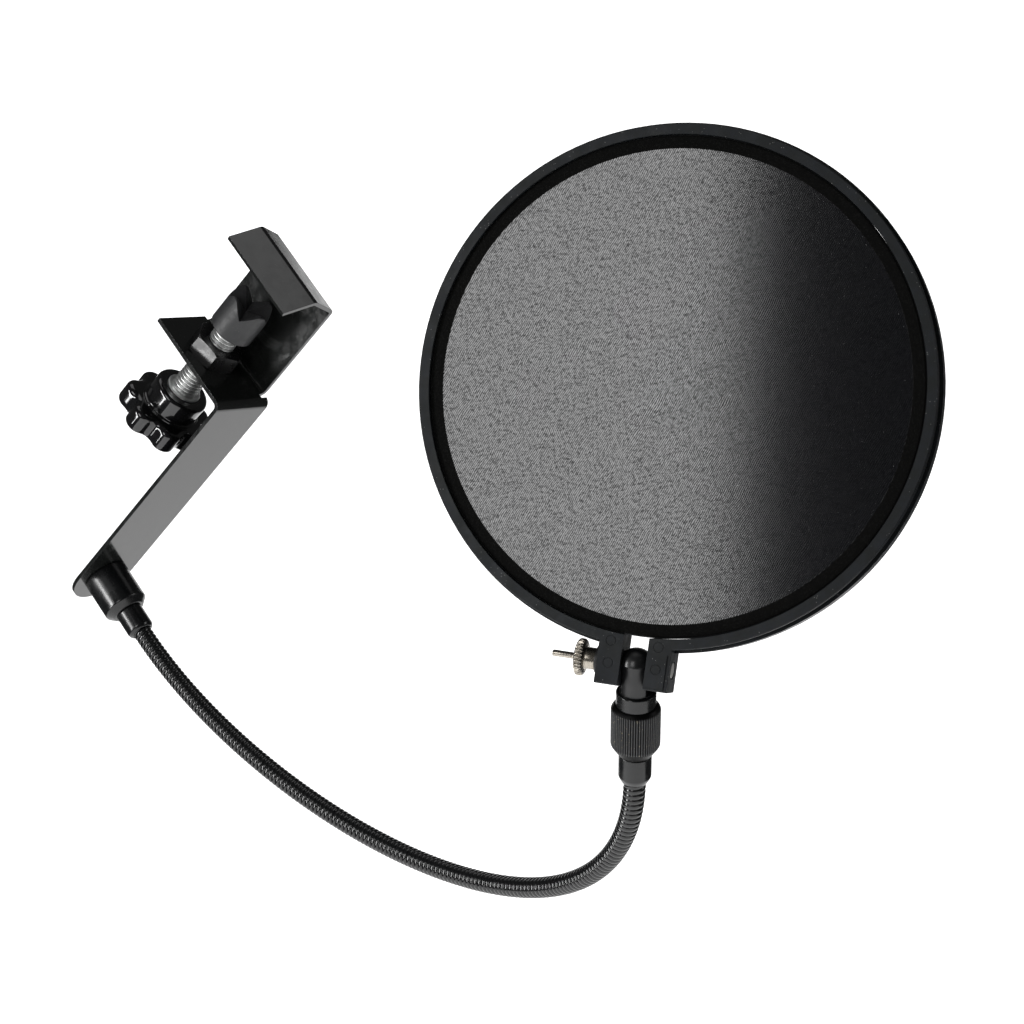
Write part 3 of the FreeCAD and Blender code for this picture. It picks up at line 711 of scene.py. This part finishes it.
def route_table(poles, count=4000):
    """Points, unit tangents and running length along the Bezier route, in millimetres."""
    t = np.linspace(0, 1, count)[:, None]
    p = [np.array(pole) / MM for pole in poles]
    binomial = (1, 4, 6, 4, 1)
    points = sum(binomial[i] * (1 - t) ** (4 - i) * t ** i * p[i] for i in range(5))
    steps = [4 * (p[i + 1] - p[i]) for i in range(4)]
    cubic = (1, 3, 3, 1)
    slopes = sum(cubic[i] * (1 - t) ** (3 - i) * t ** i * steps[i] for i in range(4))
    tangents = slopes / np.linalg.norm(slopes, axis=1)[:, None]
    run = np.concatenate([[0], np.cumsum(np.linalg.norm(np.diff(points, axis=0), axis=1))])
    return points, tangents, run


def carried_frames(tangents):
    """Side vectors carried along the route without twist."""
    side = np.cross(tangents[0], (0, 0, 1.0))
    side /= np.linalg.norm(side)
    sides = [side]
    for t in tangents[1:]:
        side = side - t * side.dot(t)
        side /= np.linalg.norm(side)
        sides.append(side)
    return np.array(sides)


def rib_profile(share):
    """Round wire crest over most of the pitch, narrow groove at its ends."""
    across = 2 * share - 1
    round_top = math.sqrt(max(1 - (across * 0.93) ** 2, 0.0))
    return NECK_R - 0.62 * (1 - round_top)


def make_gooseneck():
    points, tangents, run = route_table(route_poles())
    sides = carried_frames(tangents)
    total = run[-1]
    stretch = total / STRETCHES
    ribs_each = round(stretch / RIB_PITCH)
    pitch = stretch / ribs_each
    steps = 40
    shares = (0.0, 0.05, 0.12, 0.24, 0.38, 0.5, 0.62, 0.76, 0.88, 0.95)
    for index in range(STRETCHES):
        first = index * ribs_each - (3 if index == 0 else 0)
        last = (index + 1) * ribs_each + (2 if index == STRETCHES - 1 else 0)
        rows = [(rib, share) for rib in range(first, last) for share in shares] + [(last, 0.0)]
        s = np.array([[(rib + share + k / steps) * pitch for k in range(steps + 1)]
                      for rib, share in rows])
        r = np.array([rib_profile(share) for rib, share in rows])[:, None]
        inner = np.clip(s, 0, total)
        beyond = s - inner
        at = [np.interp(inner, run, points[:, c]) for c in range(3)]
        along = [np.interp(inner, run, tangents[:, c]) for c in range(3)]
        across = [np.interp(inner, run, sides[:, c]) for c in range(3)]
        at = np.stack(at, -1)
        along = np.stack(along, -1)
        across = np.stack(across, -1)
        other = np.cross(along, across)
        angle = (np.arange(steps + 1) * TAU / steps)[None, :, None]
        radial = across * np.cos(angle) + other * np.sin(angle)
        grid = at + along * beyond[..., None] + radial * r[..., None]
        verts = grid.reshape(-1, 3)
        wide = steps + 1
        faces = [(i * wide + k, i * wide + k + 1, (i + 1) * wide + k + 1, (i + 1) * wide + k)
                 for i in range(len(rows) - 1) for k in range(steps)]
        name = "gooseneck_skin_%d" % (index + 1)
        piece = new_piece(name, verts, faces, Matrix.Identity(4), None, "gooseneck_steel", [NECK])
        weld(piece, 0.001)
        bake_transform(piece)
        nodes = ["gooseneck_%02d" % (index + 1)]
        if index == STRETCHES - 1:
            nodes.append("gooseneck_09")
        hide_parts(*nodes)


make_gooseneck()


# ======================================================================
# head fittings
# ======================================================================
tip = lathe("tip_ferrule_turned",
            [(3.55, 33.1), (4.5, 27.1), (4.5, 31.2), (4.8, 31.2), (5.02, 31.33), (5.1, 31.6), (5.1, 38.6),
             (5.03, 39.0), (4.8, 39.55), (4.4, 40.4), (4.15, 40.85), (3.9, 41.0), (3.55, 40.8)],
            HEAD, "neck_tip", "satin_black_metal", [SATIN], 96, 0.08)
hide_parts("tip_ferrule")
sleeve = lathe("collet_sleeve_turned",
               [(5.15, 9.05), (5.3, 8.93), (5.55, 8.9), (5.9, 8.98), (6.05, 9.14), (6.1, 9.4), (6.1, 26.9),
                (5.15, 26.9)],
               HEAD, "neck_tip", "satin_black_metal", [SATIN], 96, 0.08)
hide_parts("collet_sleeve")

STUB_R = 5.1
STUB_FLAT = 3.8
STUB_DOME = 3.5
STUB_EDGE = -1.8


def make_stub():
    """Round stub with a domed top and two flats between the lugs."""
    ball = (STUB_R ** 2 + STUB_DOME ** 2) / (2 * STUB_DOME)
    reach = math.asin(STUB_R / ball)
    top = STUB_EDGE - STUB_DOME
    profile = [(0, top)]
    for step in range(1, 13):
        a = reach * step / 12
        profile.append((ball * math.sin(a), top + ball * (1 - math.cos(a))))
    profile += [(STUB_R, STUB_EDGE + 0.06), (STUB_R, STUB_EDGE + 0.6), (STUB_R, 4.0), (STUB_R, 8.55)]
    flatted = len(profile)
    profile += [(STUB_R, 8.75), (STUB_R, 16.0), (STUB_R, 22.9), (4.5, 23.5), (0, 23.5)]

    def flats(angle, index):
        if index >= flatted:
            return 1.0
        r = profile[index][0]
        return min(r, STUB_FLAT / max(abs(math.cos(angle)), 1e-6)) / r

    piece = lathe("swivel_stub_turned", profile, HEAD, "stub", "satin_black_metal", [STUB_BLACK], 120, 0,
                  shape=flats)
    soften(piece, 0.14, 18)
    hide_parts("swivel_stub")


make_stub()

KNURLS = 60
KNURL_DEPTH = 0.30
COLLAR_R = 7.55


def make_collar():
    per = 8
    steps = KNURLS * per
    profile = [(6.22, 13.72), (6.35, 13.62), (6.52, 13.72), (7.0, 14.26), (7.3, 14.62), (7.44, 14.84),
               (7.52, 15.05), (COLLAR_R, 15.3)]
    profile += [(COLLAR_R, 15.3 + (27.1 - 15.3) * k / 6) for k in range(1, 7)]
    profile += [(7.52, 27.35), (7.42, 27.62), (7.1, 28.14), (6.5, 29.04), (5.9, 29.96), (5.42, 30.66),
                (5.2, 30.92), (5.0, 31.0), (4.6, 31.0)]
    shape_of = (0.0, 0.0, 0.15, 0.75, 1.0, 1.0, 0.75, 0.15)

    def cut(angle, index):
        r = profile[index][0]
        k = round(angle / TAU * steps) % per
        floor = COLLAR_R - KNURL_DEPTH * shape_of[k]
        return min(r, floor) / r

    piece = lathe("lock_collar_knurled", profile, HEAD, "collar", "satin_black_metal", [KNURL], steps, 0,
                  shape=cut)
    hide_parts("lock_collar")


make_collar()


# ======================================================================
# cross screw
# ======================================================================
THUMB_TEETH = 30


def make_thumb():
    per = 8
    steps = THUMB_TEETH * per
    outer = 5.6
    profile = [(0, -25.9), (0.6, -25.9), (0.85, -25.8), (0.98, -25.55), (1.0, -25.2), (1.0, -18.7),
               (1.15, -18.45), (1.5, -18.4), (4.4, -18.4), (4.85, -18.32), (5.2, -18.12), (5.45, -17.85),
               (outer, -17.55), (outer, -17.0), (outer, -16.45), (5.45, -16.15), (5.2, -15.88),
               (4.85, -15.68), (4.4, -15.6), (3.5, -15.6), (3.32, -15.5), (3.3, -15.2), (3.3, -12.5),
               (3.2, -12.3), (3.0, -12.25), (1.5, -12.25), (1.5, 10.0), (1.2, 10.4), (0, 10.4)]
    tooth = (0.0, 0.0, 0.2, 0.8, 1.0, 1.0, 0.8, 0.2)

    def cut(angle, index):
        r = profile[index][0]
        k = round(angle / TAU * steps) % per
        return min(r, outer - 0.62 * tooth[k]) / r

    piece = lathe("thumb_screw_knurled", profile, CROSS, "thumb", "nickel_steel", [NICKEL], steps, 0,
                  shape=cut)
    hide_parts("thumb_screw")


make_thumb()
from_cad("thumb_washer", "thumb_washer_black", "washer", "washer_plastic", WASHER, 0.15)
from_cad("lug_insert", "lug_insert_nickel", "hoop", "nickel_steel", INSERT, 0.12)


# ======================================================================
# hoop
# ======================================================================
from_cad("outer_ring", "outer_ring_moulded", "hoop", "hoop_plastic", HOOP_BLACK, 0.28)

inner = lathe("inner_hoop_wrapped",
              [(71.05, -9.4), (70.65, -9.25), (70.5, -8.9), (70.5, -1.75), (70.65, -1.38), (71.0, -1.22),
               (74.1, -1.22), (74.45, -1.38), (74.6, -1.75), (74.6, -8.9), (74.45, -9.25), (74.1, -9.4),
               (71.05, -9.4)],
              HOOP, "hoop", "inner_hoop_plastic", [INNER_BLACK], 256, 0)
weld(inner, 0.01)
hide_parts("inner_hoop")


def make_mesh_disc(name, z_face, side, material, node):
    """A taut disc of mesh whose rim turns down over the inner hoop's edge."""
    radii = [0.0, 6, 14, 22, 30, 38, 46, 54, 60, 65, 69, 71, 72.2, 73.2, 73.8, 74.15, MESH_R]
    drops = {74.15: 0.06, MESH_R: 0.22}
    steps = 192
    verts = []
    for r in radii:
        drop = drops.get(r, 0.0)
        if r == 0.0:
            verts.append((0, 0, z_face))
            continue
        for k in range(steps):
            a = TAU * k / steps
            verts.append((r * math.cos(a), r * math.sin(a), z_face - side * drop))
    faces = []
    for k in range(steps):
        faces.append((0, 1 + k, 1 + (k + 1) % steps))
    for i in range(1, len(radii) - 1):
        a0 = 1 + (i - 1) * steps
        b0 = 1 + i * steps
        for k in range(steps):
            j = (k + 1) % steps
            faces.append((a0 + k, b0 + k, b0 + j, a0 + j))
    piece = new_piece(name, verts, faces, HOOP, "hoop", "nylon_mesh", [material])
    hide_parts(node)


make_mesh_disc("front_mesh_nylon", -0.95, 1, woven_nylon("front_mesh_weave", -24, 1.0), "front_mesh")
make_mesh_disc("rear_mesh_nylon", -9.62, -1, woven_nylon("rear_mesh_weave", -45, 1.7), "rear_mesh")


# ======================================================================
# studio
# ======================================================================
def white_floor():
    look = Look("studio_white", (0.88, 0.88, 0.88), 0.9)
    look.set("Base Color", look.blend(look.noise(3, 3, 0.5), (0.90, 0.90, 0.90), (0.86, 0.86, 0.86)))
    look.set("Emission Color", (1, 1, 1, 1))
    look.set("Emission Strength", 0.95)
    return look.material


def make_sweep():
    """Pale floor that curves up into the backdrop."""
    floor_z = -520.0
    back_y = 1100.0
    bend = 350.0
    path = [(-700.0, floor_z), (back_y - bend, floor_z)]
    for k in range(1, 13):
        a = math.pi / 2 * k / 12
        path.append((back_y - bend + bend * math.sin(a), floor_z + bend * (1 - math.cos(a))))
    path.append((back_y, 430.0))
    verts = []
    for y, z in path:
        verts.append((-470.0, y, z))
        verts.append((600.0, y, z))
    faces = [(2 * i, 2 * i + 1, 2 * i + 3, 2 * i + 2) for i in range(len(path) - 1)]
    sweep = new_piece("studio_sweep", verts, faces, Matrix.Identity(4), None, "", [white_floor()])
    del sweep["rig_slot"]


def softbox(name, position, target, size, power):
    light = bpy.data.lights.new(name, "AREA")
    light.shape = "RECTANGLE"
    light.size, light.size_y = size
    light.energy = power
    lamp = bpy.data.objects.new(name, light)
    bpy.context.scene.collection.objects.link(lamp)
    lamp.location = position
    lamp.rotation_euler = (Vector(target) - Vector(position)).to_track_quat("-Z", "Y").to_euler()


make_sweep()
softbox("key_left", (-1.02, -0.48, -0.10), (-0.1, 0.0, 0.0), (0.18, 0.8), 9)
softbox("top", (0.1, -0.15, 1.1), (0.06, -0.05, -0.1), (0.9, 0.7), 1.9)
softbox("front_left", (-0.36, -0.93, 0.08), (0.10, -0.13, -0.04), (0.26, 0.5), 1.7)
softbox("fill_right", (1.25, -0.35, 0.25), (0.08, -0.05, -0.1), (0.4, 0.9), 2.0)

world = bpy.data.worlds.new("studio")
bpy.context.scene.world = world
world.use_nodes = True
world.node_tree.nodes["Background"].inputs[0].default_value = (1, 1, 1, 1)
world.node_tree.nodes["Background"].inputs[1].default_value = 0.05

camera_data = bpy.data.cameras.new("camera")
camera_data.sensor_width = 36.0
camera_data.lens = 87.890625
camera_data.clip_end = 20
camera = bpy.data.objects.new("camera", camera_data)
bpy.context.scene.collection.objects.link(camera)
camera.location = (0.08443, -0.86947, -0.07779)
camera.rotation_euler = (math.pi / 2, 0, 0)
bpy.context.scene.camera = camera
bpy.context.scene.view_settings.view_transform = "Standard"
